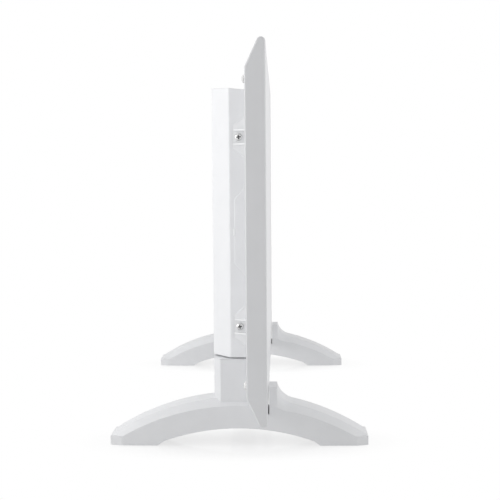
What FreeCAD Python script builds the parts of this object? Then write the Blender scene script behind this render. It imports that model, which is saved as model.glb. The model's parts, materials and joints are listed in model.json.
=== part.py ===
import FreeCAD, Part
import math
import os

# Frame: +X along the panel, -Y is the front that radiates, +Z up.
# The origin is on the floor, below the middle of the panel's length and of the feet's depth. Millimetres.

# Fits and cuts
SEAT_GAP = 0.3
SLIP_GAP = 0.15
RUNNING_GAP = 0.05
OVERRUN = 4.0

# Front panel: a roll-formed sheet profile with slanted rims, closed by two end caps
PANEL_LENGTH = 584.4
PANEL_HEIGHT = 384.0
PANEL_THICKNESS = 20.7
PANEL_BOTTOM = 34.5
PANEL_FRONT = -31.0
PANEL_SHEET = 1.0
RIM_ANGLE = math.radians(25.0)
TIP_RADIUS = 4.4
BACK_BEND_RADIUS = 5.0
BACK_FLANGE = 15.5
CAP_THICKNESS = 2.4
CAP_EDGE = 1.1
CAP_LIP_DEPTH = 8.0
CAP_LIP_WALL = 1.4

# Panel back plate and its screws
PLATE_SHEET = 1.0
PLATE_EDGE_MARGIN = 1.0
PLATE_SCREW_EDGE = 6.0
PLATE_SCREW_END = 20.0
PLATE_SCREW_COLUMNS = 3
PLATE_SCREW_HEAD_RADIUS = 4.2
PLATE_SCREW_HEAD_HEIGHT = 3.4
LEAD_HOLE_SIDE = 13.0
LEAD_HOLE_GAP = 26.0
LEAD_HOLE_RISE = 160.6

# Radiant element, insulation and clamp bars inside the panel
ELEMENT_MARGIN_X = 38.0
ELEMENT_MARGIN_Z = 46.0
MICA_THICKNESS = 2.4
TRACK_COUNT = 9
TRACK_WIDTH = 14.0
TRACK_HEIGHT = 0.6
TRACK_END_MARGIN = 16.0
INSULATION_MARGIN = 6.0
CLAMP_COUNT = 3
CLAMP_END_INSET = 64.2
CLAMP_WIDTH = 26.0
CLAMP_FLANGE = 7.0
CLAMP_SHEET = 0.9
CLAMP_HEIGHT = 4.2

# Rear housing: the air duct behind the panel, with chamfered ends and a top that rises to the rear
HOUSING_END_INSET = 58.2
HOUSING_RISE = 59.9
HOUSING_FLANGE_GAP = 1.0
HOUSING_DEPTH = 38.4
HOUSING_CHAMFER_X = 21.9
HOUSING_CHAMFER_Y = 19.0
HOUSING_SLOPE = math.radians(5.3)
HOUSING_WALL = 1.2
HOUSING_BEND_RADIUS = 3.0
VENT_WIDTH = 5.5
VENT_LENGTH = 23.0
VENT_PITCH = 16.0
VENT_END_MARGIN = 12.0
REAR_VENT_DROP = 30.0

# Brackets that hold the housing's end walls to the panel's back plate
BRACKET_SHEET = 1.5
BRACKET_SCREW_SETBACK = 9.1
BRACKET_TOP_INSET = 48.5
BRACKET_BOTTOM_INSET = 33.2
BRACKET_DEPTH = 14.9
BRACKET_LONG_SIDE = 42.0
BRACKET_SHORT_SIDE = 23.4
BRACKET_BASE = 9.0
GUSSET_REACH = 7.5
GUSSET_THICKNESS = 1.7
GUSSET_SPACING = 14.4
HOUSING_SCREW_HEAD_RADIUS = 3.75
HOUSING_SCREW_HEAD_HEIGHT = 2.8

# Small fasteners and pins: bevelled heads, and round forms made with a few flats
HEAD_BEVEL = 1.2
SMALL_ROUND_SIDES = 16

# Finned convection element in the duct
FIN_RISE = 57.6
FIN_SIDE_GAP = 1.2
FIN_HUB_RADIUS = 5.6
FIN_ARM_THICKNESS = 2.2
FIN_ARM_ANGLE = math.radians(58.0)
FIN_RIB_COUNT = 3
FIN_RIB_THICKNESS = 1.3
FIN_RIB_WIDTH = 6.5
PIN_RADIUS = 2.5
PIN_REACH = 20.0
FIN_BRACKET_GAP = 4.0
FIN_BRACKET_SHEET = 1.2
FIN_BRACKET_HEIGHT = 66.0
FIN_BRACKET_FLANGE = 12.0
BUSH_SIDE = 10.0
BUSH_LENGTH = 9.0

# Heat shield between the element and the rear wall, and the cut-out that it carries
SHIELD_SHEET = 0.8
SHIELD_REAR_GAP = 3.0
SHIELD_END_GAP = 10.1
SHIELD_BELOW = 12.0
SHIELD_ABOVE = 62.0
CUTOUT_RADIUS = 8.0
CUTOUT_DEPTH = 7.0
CUTOUT_ABOVE = 46.0
CUTOUT_TAB_WIDTH = 4.8
CUTOUT_TAB_LENGTH = 8.0
CUTOUT_TAB_SHEET = 0.8
CUTOUT_TAB_SPACING = 9.0

# Wall between the hot duct and the control space, and what the control space holds
DIVIDER_SHEET = 0.8
DIVIDER_FLANGE = 11.0
TERMINAL_GAP = 42.0
TERMINAL_RISE = 37.6
TERMINAL_LENGTH = 40.0
TERMINAL_HEIGHT = 22.0
TERMINAL_DEPTH = 17.0
TERMINAL_POLES = 3
TERMINAL_SLOT = 8.0
TERMINAL_SLOT_DEPTH = 9.0
TILT_GAP = 38.5
TILT_RISE = 119.6
TILT_WIDTH = 27.0
TILT_HEIGHT = 32.0
TILT_DEPTH = 20.0
TILT_EAR = 8.0
TILT_EAR_SHEET = 2.5
GLAND_FOOT_GAP = 24.5
GLAND_SETBACK = 19.3
GLAND_BORE_RADIUS = 4.0
GLAND_WALL = 3.5
GLAND_FLANGE = 4.0
GLAND_NUT_EDGE = 3.0
GLAND_NUT = 5.0
GLAND_THREAD = 9.0

# Control bezel on the sloped top; u runs along X, v up the slope, w out of it
CONTROL_END_GAP = 34.0
CONTROL_DIVIDER_GAP = 8.0
CONTROL_REARWARD = 1.7
CONTROL_CUT_MARGIN = 1.7
BEZEL_LAP = 3.0
BEZEL_END_LAP = 5.0
BEZEL_THICKNESS = 2.0
BEZEL_CORNER_RADIUS = 5.0
BEZEL_EDGE = 0.7
LENS_U = 4.0
LENS_RADIUS = 2.8
LENS_FLANGE_EDGE = 1.6
LENS_FLANGE = 1.4
LENS_PROUD = 1.2
LENS_DEPTH = 6.0

# Rocker switches
SWITCH_END_GAP = 6.7
SWITCH_PITCH = 22.0
SWITCH_WIDTH = 12.6
SWITCH_LENGTH = 18.6
SWITCH_DEPTH = 17.0
SWITCH_FLANGE_EDGE = 1.4
SWITCH_FLANGE = 1.4
SWITCH_WALL = 1.4
SWITCH_CAVITY_DEPTH = 9.4
ROCKER_SIDE_GAP = 0.3
ROCKER_END_GAP = 1.0
ROCKER_TILT_DEG = 10.0
ROCKER_VALLEY = 2.6
ROCKER_SKIRT = 0.6
ROCKER_FOOT_SHARE = 0.5
ROCKER_FOOT_DROP = 3.4
ROCKER_PIVOT_W = 0.6
ROCKER_PIN_RADIUS = 1.2

# Thermostat with its shaft, nut and knob
KNOB_U = 35.0
THERMOSTAT_WIDTH = 28.0
THERMOSTAT_SIDE_GAP = 1.0
THERMOSTAT_END_GAP = 2.0
THERMOSTAT_DEPTH = 24.0
NECK_WALL = 1.6
NECK_PROUD = 2.0
NUT_EDGE = 2.6
NUT_HEIGHT = 2.2
SHAFT_RADIUS = 3.0
SHAFT_FLAT_DEPTH = 0.9
SHAFT_BELOW = 12.0
KNOB_RADIUS = 11.0
KNOB_LIFT = 0.6
KNOB_HEIGHT = 12.4
KNOB_CROWN = 1.2
KNOB_WALL = 2.0
KNOB_ROOF = 2.8
KNOB_NECK_GAP = 1.8
KNOB_TEETH = 20
TOOTH_DEPTH = 0.6
POINTER_WIDTH = 1.4
POINTER_DEPTH = 0.6
POINTER_INNER = 3.5

# Feet: arched mouldings with a slot for the panel between a front stand and a rear post
FOOT_END_INSET = 77.7
FOOT_WIDTH = 44.0
FOOT_DEPTH = 273.0
FOOT_BEVEL = 7.5
FOOT_FACET_Y = 12.2
FOOT_FACET_X = 3.0
FOOT_REST_LENGTH = 50.8
ARCH_SPRING = 5.5
ARCH_APEX = 19.3
ARCH_SPLAY = 6.2
ARM_RISE = 8.8
ARM_TIP_HEIGHT = 2.35
END_BLOCK_HEIGHT = 9.4
END_BLOCK_LENGTH = 20.0
BLEND_REACH = 27.8
STAND_REACH = 9.4
STAND_ROOT = 7.0
STAND_RISE = 27.0
STAND_SIDE_RISE = 1.6
STAND_HOLLOW_SHARE = 0.22
STAND_GAP = 1.2
POST_DEPTH = 36.2
POST_SETBACK = 3.6
POST_CHAMFER = 7.0
POST_GAP = 2.6
POST_ROOT_RISE = 3.5
FOOT_SCREW_RADIUS = 2.5
FOOT_SCREW_HEAD_RADIUS = 4.6
FOOT_SCREW_HEAD_HEIGHT = 3.4
FOOT_SCREW_WEB = 7.0
FOOT_SCREW_WELL_GAP = 1.4
FOOT_NUT_RADIUS = 5.0
FOOT_NUT_HEIGHT = 4.0
FOOT_SIDE_WALL = 3.5
POCKET_COUNT = 4
POCKET_PITCH = 9.6
POCKET_RIB = 3.2
POCKET_FORWARD = 5.3
POCKET_DEPTH = 8.5
PAD_PROUD = 1.0
PAD_THICKNESS = 2.0
PAD_WIDTH = 30.0
PAD_LENGTH = 32.0
PAD_CORNER = 5.0
PAD_END_MARGIN = 9.0

# Derived places: panel
PANEL_HALF = PANEL_LENGTH / 2
PANEL_TOP = PANEL_BOTTOM + PANEL_HEIGHT
PANEL_BACK = PANEL_FRONT + PANEL_THICKNESS
TIP_RISE = TIP_RADIUS / math.tan(RIM_ANGLE / 2) - TIP_RADIUS
RIM_RISE = PANEL_THICKNESS / math.tan(RIM_ANGLE)
RIM_TOP = PANEL_TOP + TIP_RISE - RIM_RISE
RIM_BOTTOM = PANEL_BOTTOM - TIP_RISE + RIM_RISE
PROFILE_HALF = PANEL_HALF - CAP_THICKNESS
PLATE_REAR = PANEL_BACK - PANEL_SHEET
PLATE_FRONT = PLATE_REAR - PLATE_SHEET
PLATE_HALF = PROFILE_HALF - CAP_LIP_DEPTH - SEAT_GAP
PLATE_SCREW_HIGH = RIM_TOP - BACK_FLANGE + PLATE_SCREW_EDGE
PLATE_SCREW_LOW = RIM_BOTTOM + BACK_FLANGE - PLATE_SCREW_EDGE
MICA_BACK = PANEL_FRONT + PANEL_SHEET + MICA_THICKNESS
INSULATION_BACK = PLATE_FRONT - CLAMP_HEIGHT

# Derived places: housing and its controls
HOUSING_HALF = PANEL_HALF - HOUSING_END_INSET
HOUSING_REAR_HALF = HOUSING_HALF - HOUSING_CHAMFER_X
HOUSING_BOTTOM = PANEL_BOTTOM + HOUSING_RISE
HOUSING_FRONT_TOP = RIM_TOP - BACK_FLANGE - HOUSING_FLANGE_GAP
HOUSING_REAR = PLATE_REAR + HOUSING_DEPTH
HOUSING_CORNER_Y = HOUSING_REAR - HOUSING_CHAMFER_Y
HOUSING_MIDDLE_Y = (PLATE_REAR + HOUSING_REAR) / 2
HOUSING_INNER_REAR = HOUSING_REAR - HOUSING_WALL
BRACKET_SCREW_Y = PLATE_REAR + BRACKET_SCREW_SETBACK
BRACKET_REAR_Y = PLATE_REAR + BRACKET_DEPTH
BRACKET_SCREW_HIGH = HOUSING_FRONT_TOP - BRACKET_TOP_INSET
BRACKET_SCREW_LOW = HOUSING_BOTTOM + BRACKET_BOTTOM_INSET
CONTROL_CUT_LENGTH = 2 * (KNOB_U + THERMOSTAT_WIDTH / 2 + THERMOSTAT_END_GAP)
CONTROL_CUT_WIDTH = SWITCH_LENGTH + 2 * CONTROL_CUT_MARGIN
CONTROL_X = HOUSING_HALF - CONTROL_END_GAP - CONTROL_CUT_LENGTH / 2
CONTROL_Y = HOUSING_MIDDLE_Y + CONTROL_REARWARD
BEZEL_LENGTH = CONTROL_CUT_LENGTH + 2 * BEZEL_END_LAP
BEZEL_WIDTH = CONTROL_CUT_WIDTH + 2 * BEZEL_LAP
LENS_FLANGE_RADIUS = LENS_RADIUS + LENS_FLANGE_EDGE
POWER_U = SWITCH_END_GAP + (SWITCH_WIDTH - CONTROL_CUT_LENGTH) / 2
HEAT_U = POWER_U + SWITCH_PITCH
ROCKER_LENGTH = SWITCH_LENGTH - 2 * SWITCH_WALL - 2 * ROCKER_END_GAP
ROCKER_WIDTH = SWITCH_WIDTH - 2 * SWITCH_WALL - 2 * ROCKER_SIDE_GAP
THERMOSTAT_LENGTH = CONTROL_CUT_WIDTH - 2 * THERMOSTAT_SIDE_GAP
NECK_RADIUS = SHAFT_RADIUS + NECK_WALL
NECK_HEIGHT = BEZEL_THICKNESS + NUT_HEIGHT + NECK_PROUD
KNOB_TOP = BEZEL_THICKNESS + KNOB_LIFT + KNOB_HEIGHT
KNOB_HOLLOW_TOP = NECK_HEIGHT + KNOB_NECK_GAP
SHAFT_TOP = KNOB_TOP - KNOB_ROOF

# Derived places: inside the housing
DIVIDER_X = CONTROL_X - CONTROL_CUT_LENGTH / 2 - CONTROL_DIVIDER_GAP
LEAD_HOLE_X = DIVIDER_X + LEAD_HOLE_GAP
LEAD_HOLE_Z = HOUSING_BOTTOM + LEAD_HOLE_RISE
TERMINAL_X = DIVIDER_X + TERMINAL_GAP + TERMINAL_LENGTH / 2
TERMINAL_Z = HOUSING_BOTTOM + TERMINAL_RISE
TILT_X = DIVIDER_X + TILT_GAP + TILT_EAR + TILT_WIDTH / 2
TILT_Z = HOUSING_BOTTOM + TILT_RISE
SHIELD_REAR = HOUSING_INNER_REAR - SHIELD_REAR_GAP
SHIELD_FRONT = SHIELD_REAR - SHIELD_SHEET
SHIELD_LEFT = SHIELD_END_GAP - HOUSING_REAR_HALF
SHIELD_RIGHT = DIVIDER_X - PIN_REACH
FIN_X = (SHIELD_LEFT + SHIELD_RIGHT) / 2
FIN_BRACKET_X = (SHIELD_RIGHT - SHIELD_LEFT) / 2 - FIN_BRACKET_FLANGE
FIN_LENGTH = 2 * (FIN_BRACKET_X - FIN_BRACKET_GAP)
FIN_CENTRE_Y = (PLATE_REAR + SHIELD_FRONT) / 2
FIN_CENTRE_Z = HOUSING_BOTTOM + FIN_RISE
FIN_RIB_SIDE = FIN_RIB_WIDTH / 2 * math.sin(FIN_ARM_ANGLE)
FIN_ARM_REACH = (SHIELD_FRONT - FIN_CENTRE_Y - FIN_SIDE_GAP - FIN_RIB_SIDE) / math.cos(FIN_ARM_ANGLE)

# Derived places: feet
FOOT_X = PANEL_HALF - FOOT_END_INSET
GLAND_X = FOOT_X - FOOT_WIDTH / 2 - GLAND_FOOT_GAP
GLAND_Y = PLATE_REAR + GLAND_SETBACK
GLAND_BODY_RADIUS = GLAND_BORE_RADIUS + GLAND_WALL
GLAND_NUT_RADIUS = GLAND_BODY_RADIUS + GLAND_NUT_EDGE
ARCH_HALF_SPAN = FOOT_DEPTH / 2 - FOOT_REST_LENGTH - ARCH_SPLAY
ARCH_SAG = ARCH_APEX - ARCH_SPRING
ARCH_RADIUS = (ARCH_HALF_SPAN ** 2 + ARCH_SAG ** 2) / (2 * ARCH_SAG)
ARM_APEX = PANEL_BOTTOM + ARM_RISE
ARM_SAG = ARM_APEX - ARM_TIP_HEIGHT
ARM_RADIUS = ((FOOT_DEPTH / 2) ** 2 + ARM_SAG ** 2) / (2 * ARM_SAG)
BLEND_Y = PANEL_FRONT - BLEND_REACH
STAND_FRONT_Y = PANEL_FRONT - STAND_REACH
STAND_REAR_Y = PANEL_FRONT + STAND_ROOT
STAND_TOP = PANEL_BOTTOM + STAND_RISE
POST_REAR = PANEL_BACK + POST_DEPTH
POST_ROOT = PANEL_BOTTOM + POST_ROOT_RISE
POST_TOP = HOUSING_BOTTOM - POST_GAP
FOOT_SCREW_WELL_RADIUS = FOOT_SCREW_HEAD_RADIUS + FOOT_SCREW_WELL_GAP

ORIGIN = FreeCAD.Vector(0, 0, 0)
AXIS_X = FreeCAD.Vector(1, 0, 0)
AXIS_Y = FreeCAD.Vector(0, 1, 0)
AXIS_Z = FreeCAD.Vector(0, 0, 1)


def housing_top(y):
    """Height of the housing's outer top at depth y."""
    return HOUSING_FRONT_TOP + (y - PLATE_REAR) * math.tan(HOUSING_SLOPE)


# Shape helpers

def point(plane, a, b, height):
    """A point of a drawing plane: yz, xz or xy, at a height along the plane's normal."""
    if plane == "yz":
        return FreeCAD.Vector(height, a, b)
    if plane == "xz":
        return FreeCAD.Vector(a, height, b)
    return FreeCAD.Vector(a, b, height)


def normal(plane):
    """The direction in which a drawing plane is extruded."""
    return {"yz": AXIS_X, "xz": AXIS_Y, "xy": AXIS_Z}[plane]


def rounded_wire(plane, corners, radii, height):
    """Closed outline through corners, each rounded by its own radius."""
    runs = []
    count = len(corners)
    for i in range(count):
        here = FreeCAD.Vector(*corners[i], 0)
        back = (FreeCAD.Vector(*corners[i - 1], 0) - here).normalize()
        ahead = (FreeCAD.Vector(*corners[(i + 1) % count], 0) - here).normalize()
        radius = radii[i]
        if radius == 0:
            runs.append((here, here, here))
            continue
        half = back.getAngle(ahead) / 2
        middle = (back + ahead).normalize()
        touch = radius / math.tan(half)
        crest = here + middle * (radius / math.sin(half) - radius)
        runs.append((here + back * touch, crest, here + ahead * touch))
    edges = []
    for i in range(count):
        start, crest, end = [point(plane, p.x, p.y, height) for p in runs[i]]
        following = runs[(i + 1) % count][0]
        if radii[i] != 0:
            edges.append(Part.Arc(start, crest, end).toShape())
        edges.append(Part.LineSegment(end, point(plane, following.x, following.y, height)).toShape())
    return Part.Wire(edges)


def prism(plane, corners, low, high, radii=None):
    """Solid from an outline with rounded corners, from low to high along the plane's normal."""
    rounds = radii if radii else [0] * len(corners)
    face = Part.Face(rounded_wire(plane, corners, rounds, low))
    return face.extrude(normal(plane) * (high - low))


def box(x0, x1, y0, y1, z0, z1):
    """Box between two corners."""
    return Part.makeBox(x1 - x0, y1 - y0, z1 - z0, FreeCAD.Vector(x0, y0, z0))


def rod(radius, start, end):
    """Cylinder between two points."""
    axis = end - start
    return Part.makeCylinder(radius, axis.Length, start, axis)


def offset_corners(corners, distance):
    """Corners of a counter-clockwise outline moved inwards by a distance."""
    moved = []
    count = len(corners)
    for i in range(count):
        here = FreeCAD.Vector(*corners[i], 0)
        into = (here - FreeCAD.Vector(*corners[i - 1], 0)).normalize()
        away = (FreeCAD.Vector(*corners[(i + 1) % count], 0) - here).normalize()
        inward_a = AXIS_Z.cross(into)
        inward_b = AXIS_Z.cross(away)
        shift = (inward_a + inward_b) * (distance / (1 + inward_a.dot(inward_b)))
        moved.append((here.x + shift.x, here.y + shift.y))
    return moved


def fused(shapes):
    """One solid from shapes that meet."""
    first = shapes[0]
    return first.multiFuse(shapes[1:]).removeSplitter() if len(shapes) > 1 else first


def group(shapes):
    """Separate solids of one node."""
    return Part.makeCompound(shapes)


def spread(count, pitch):
    """Evenly spaced places about zero."""
    return [(i - (count - 1) / 2) * pitch for i in range(count)]


def regular(sides, radius):
    """Corners of a regular outline about zero."""
    turns = [2 * math.pi * i / sides for i in range(sides)]
    return [(radius * math.cos(t), radius * math.sin(t)) for t in turns]


def small_pin(plane, radius, low, high):
    """Small pin with flats, along the normal of a plane."""
    return prism(plane, regular(SMALL_ROUND_SIDES, radius), low, high)


def bevelled(shape, top, size):
    """A shape with its edges at a height bevelled."""
    rim = [e for e in shape.Edges if e.BoundBox.ZMin > top - SLIP_GAP]
    return shape.makeChamfer(size, rim)


def hexagon_ring(radius, bore, low, high):
    """Hexagon nut along Z with a round bore."""
    nut = prism("xy", regular(6, radius), low, high)
    return nut.cut(rod(bore, AXIS_Z * (low - OVERRUN), AXIS_Z * (high + OVERRUN)))


def screw_head(radius, height):
    """Pan head above zero, with a bevelled top edge."""
    return bevelled(small_pin("xy", radius, 0, height), height, HEAD_BEVEL)


def aimed(shape, place, direction):
    """A copy of a shape made along Z, turned to a direction and moved to a place."""
    turn = FreeCAD.Rotation(AXIS_Z, direction)
    copy = shape.copy()
    copy.Placement = FreeCAD.Placement(place, turn)
    return copy


def on_top(shape):
    """A copy of a shape made in the control frame, set on the housing's sloped top."""
    turn = FreeCAD.Rotation(AXIS_X, math.degrees(HOUSING_SLOPE))
    place = FreeCAD.Vector(CONTROL_X, CONTROL_Y, housing_top(CONTROL_Y))
    copy = shape.copy()
    copy.Placement = FreeCAD.Placement(place, turn).multiply(copy.Placement)
    return copy


# Panel

def panel_corners():
    """End outline of the panel as y, z corners, counter-clockwise, before rounding."""
    return [(PANEL_BACK, RIM_BOTTOM), (PANEL_BACK, RIM_TOP),
            (PANEL_FRONT, PANEL_TOP + TIP_RISE), (PANEL_FRONT, PANEL_BOTTOM - TIP_RISE)]


def panel_radii(inset):
    """Corner radii of the panel outline moved inwards by an inset."""
    return [BACK_BEND_RADIUS - inset, BACK_BEND_RADIUS - inset, TIP_RADIUS - inset, TIP_RADIUS - inset]


def panel_solid(inset, low, high):
    """Solid panel outline, moved inwards by an inset, between two places along X."""
    return prism("yz", offset_corners(panel_corners(), inset), low, high, panel_radii(inset))


def plate_screw_places():
    """Places of the back plate's screws along X and Z."""
    pitch = 2 * (PANEL_HALF - PLATE_SCREW_END) / (PLATE_SCREW_COLUMNS - 1)
    return [(x, z) for x in spread(PLATE_SCREW_COLUMNS, pitch) for z in (PLATE_SCREW_LOW, PLATE_SCREW_HIGH)]


def foot_centres():
    """Middles of the two feet along X."""
    return [-FOOT_X, FOOT_X]


def lead_way(front, rear):
    """Square way for the element's leads through a sheet or board."""
    half = LEAD_HOLE_SIDE / 2
    return box(LEAD_HOLE_X - half, LEAD_HOLE_X + half, front - OVERRUN, rear + OVERRUN,
               LEAD_HOLE_Z - half, LEAD_HOLE_Z + half)


def cut_screw_holes(shape, front, rear):
    """Cuts the holes of the feet's screws through a sheet."""
    start, end = front - OVERRUN, rear + OVERRUN
    drills = [rod(FOOT_SCREW_RADIUS + SLIP_GAP, FreeCAD.Vector(x, start, PLATE_SCREW_LOW),
                  FreeCAD.Vector(x, end, PLATE_SCREW_LOW)) for x in foot_centres()]
    return shape.cut(drills)


def front_panel():
    """Front sheet with slanted rims and back flanges, open along the back and at both ends."""
    profile = panel_solid(0, -PROFILE_HALF, PROFILE_HALF)
    profile = profile.cut(panel_solid(PANEL_SHEET, -PROFILE_HALF - OVERRUN, PROFILE_HALF + OVERRUN))
    opening = box(-PANEL_HALF, PANEL_HALF, PLATE_REAR - PANEL_SHEET, PANEL_BACK + OVERRUN,
                  RIM_BOTTOM + BACK_FLANGE, RIM_TOP - BACK_FLANGE)
    return cut_screw_holes(profile.cut(opening), PLATE_REAR, PANEL_BACK)


def end_cap(side):
    """Pressed cap with bevelled edges and a lip that plugs into the end of the profile."""
    plate = panel_solid(0, side * PROFILE_HALF, side * PANEL_HALF)
    outer = [e for e in plate.Edges if abs(e.CenterOfMass.x - side * PANEL_HALF) < SLIP_GAP]
    plate = plate.makeChamfer(CAP_EDGE, outer)
    lip_inset = PANEL_SHEET + SLIP_GAP
    lip_end = side * (PROFILE_HALF - CAP_LIP_DEPTH)
    core_end = side * (PROFILE_HALF - CAP_LIP_DEPTH - OVERRUN)
    lip = panel_solid(lip_inset, side * PROFILE_HALF, lip_end)
    lip = lip.cut(panel_solid(lip_inset + CAP_LIP_WALL, side * PROFILE_HALF, core_end))
    return plate.fuse(lip).removeSplitter()


def panel_back_plate():
    """Flat sheet behind the element, screwed to the inside of the back flanges."""
    margin = BACK_BEND_RADIUS + PLATE_EDGE_MARGIN
    plate = box(-PLATE_HALF, PLATE_HALF, PLATE_FRONT, PLATE_REAR, RIM_BOTTOM + margin, RIM_TOP - margin)
    return cut_screw_holes(plate, PLATE_FRONT, PLATE_REAR).cut(lead_way(PLATE_FRONT, PLATE_REAR))


def back_plate_screws():
    """Screws on the back flanges, as their seated heads."""
    screw = screw_head(PLATE_SCREW_HEAD_RADIUS, PLATE_SCREW_HEAD_HEIGHT)
    return group([aimed(screw, FreeCAD.Vector(x, PANEL_BACK, z), AXIS_Y) for x, z in plate_screw_places()])


def radiant_element():
    """Mica board against the front sheet, with its flat resistance tracks on the rear side."""
    half = PANEL_HALF - ELEMENT_MARGIN_X
    low = PANEL_BOTTOM + ELEMENT_MARGIN_Z
    high = PANEL_TOP - ELEMENT_MARGIN_Z
    board_back = MICA_BACK - TRACK_HEIGHT
    board = box(-half, half, PANEL_FRONT + PANEL_SHEET, board_back, low, high)
    run = half - TRACK_END_MARGIN
    pitch = (high - low - 2 * TRACK_END_MARGIN - TRACK_WIDTH) / (TRACK_COUNT - 1)
    middle = (low + high) / 2
    tracks = []
    for z in spread(TRACK_COUNT, pitch):
        lower = middle + z - TRACK_WIDTH / 2
        tracks.append(box(-run, run, board_back, MICA_BACK, lower, lower + TRACK_WIDTH))
    for i, z in enumerate(spread(TRACK_COUNT - 1, pitch)):
        end = run if i % 2 == 0 else TRACK_WIDTH - run
        lower = middle + z - pitch / 2
        tracks.append(box(end - TRACK_WIDTH, end, board_back, MICA_BACK, lower, lower + pitch))
    return fused([board] + tracks)


def insulation_board():
    """Fibre board that keeps the heat on the front sheet's side."""
    half = PANEL_HALF - ELEMENT_MARGIN_X + INSULATION_MARGIN
    low = PANEL_BOTTOM + ELEMENT_MARGIN_Z - INSULATION_MARGIN
    high = PANEL_TOP - ELEMENT_MARGIN_Z + INSULATION_MARGIN
    board = box(-half, half, MICA_BACK, INSULATION_BACK, low, high)
    return board.cut(lead_way(MICA_BACK, INSULATION_BACK))


def clamp_bars():
    """Top-hat bars that press the insulation and the element on to the front sheet."""
    low = PANEL_BOTTOM + ELEMENT_MARGIN_Z
    high = PANEL_TOP - ELEMENT_MARGIN_Z
    half = CLAMP_WIDTH / 2
    crown = half - CLAMP_FLANGE
    base, top = INSULATION_BACK, PLATE_FRONT
    outline = [(-half, base), (-crown + CLAMP_SHEET, base), (-crown + CLAMP_SHEET, top - CLAMP_SHEET),
               (crown - CLAMP_SHEET, top - CLAMP_SHEET), (crown - CLAMP_SHEET, base), (half, base),
               (half, base + CLAMP_SHEET), (crown, base + CLAMP_SHEET), (crown, top), (-crown, top),
               (-crown, base + CLAMP_SHEET), (-half, base + CLAMP_SHEET)]
    pitch = 2 * (PANEL_HALF - ELEMENT_MARGIN_X - CLAMP_END_INSET) / (CLAMP_COUNT - 1)
    bars = []
    for x in spread(CLAMP_COUNT, pitch):
        bars.append(prism("xy", [(x + a, b) for a, b in outline], low, high))
    return group(bars)


# Rear housing

def housing_plan(inset, front):
    """Plan outline of the housing, moved inwards by an inset, from a front line."""
    half, rear_half = HOUSING_HALF, HOUSING_REAR_HALF
    full = [(-half, PLATE_REAR), (half, PLATE_REAR), (half, HOUSING_CORNER_Y), (rear_half, HOUSING_REAR),
            (-rear_half, HOUSING_REAR), (-half, HOUSING_CORNER_Y)]
    moved = offset_corners(full, inset)
    return [(moved[0][0], front), (moved[1][0], front)] + moved[2:]


def housing_solid(inset, front):
    """Solid inside of the housing's outline, moved inwards by an inset."""
    bend = HOUSING_BEND_RADIUS - inset
    lid = housing_top(HOUSING_REAR) + OVERRUN
    bends = [0, 0, bend, bend, bend, bend]
    plan = prism("xy", housing_plan(inset, front), HOUSING_BOTTOM + inset, lid, bends)
    drop = inset / math.cos(HOUSING_SLOPE)
    front_line = front - OVERRUN
    rear_line = HOUSING_REAR + OVERRUN
    side = [(front_line, HOUSING_BOTTOM - OVERRUN), (rear_line, HOUSING_BOTTOM - OVERRUN),
            (rear_line, housing_top(rear_line) - drop), (front_line, housing_top(front_line) - drop)]
    return plan.common(prism("yz", side, -HOUSING_HALF - OVERRUN, HOUSING_HALF + OVERRUN))


def vent_slot(plane, a, b, low, high):
    """Punched slot, long along the second axis of its plane."""
    half, run = VENT_WIDTH / 2, VENT_LENGTH / 2
    corners = [(a - half, b - run), (a + half, b - run), (a + half, b + run), (a - half, b + run)]
    return prism(plane, corners, low, high)


def vents():
    """Air inlets in the housing's bottom, and outlets in its top and high in its rear wall."""
    top_z = housing_top(HOUSING_MIDDLE_Y)
    rear_z = housing_top(HOUSING_REAR) - REAR_VENT_DROP
    run = DIVIDER_X + HOUSING_REAR_HALF - 2 * VENT_END_MARGIN
    cuts = []
    for place in spread(int(run / VENT_PITCH), VENT_PITCH):
        x = (DIVIDER_X - HOUSING_REAR_HALF) / 2 + place
        cuts.append(vent_slot("xy", x, HOUSING_MIDDLE_Y, HOUSING_BOTTOM - OVERRUN, HOUSING_BOTTOM + OVERRUN))
        cuts.append(vent_slot("xy", x, HOUSING_MIDDLE_Y, top_z - OVERRUN, top_z + OVERRUN))
        cuts.append(vent_slot("xz", x, rear_z, HOUSING_INNER_REAR - OVERRUN, HOUSING_REAR + OVERRUN))
    return cuts


def bracket_screw_places():
    """Sides and heights of the housing's screws."""
    return [(side, z) for side in (-1, 1) for z in (BRACKET_SCREW_LOW, BRACKET_SCREW_HIGH)]


def rear_housing():
    """Folded sheet duct, open towards the panel."""
    outer = housing_solid(0, PLATE_REAR)
    shell = outer.cut(housing_solid(HOUSING_WALL, PLATE_REAR - OVERRUN))
    control = prism("xy", centred(CONTROL_CUT_LENGTH, CONTROL_CUT_WIDTH), -OVERRUN, OVERRUN)
    cuts = vents() + [on_top(control)]
    cuts.append(rod(GLAND_BODY_RADIUS + SLIP_GAP, FreeCAD.Vector(GLAND_X, GLAND_Y, HOUSING_BOTTOM - OVERRUN),
                    FreeCAD.Vector(GLAND_X, GLAND_Y, HOUSING_BOTTOM + OVERRUN)))
    return shell.cut(cuts)


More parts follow.
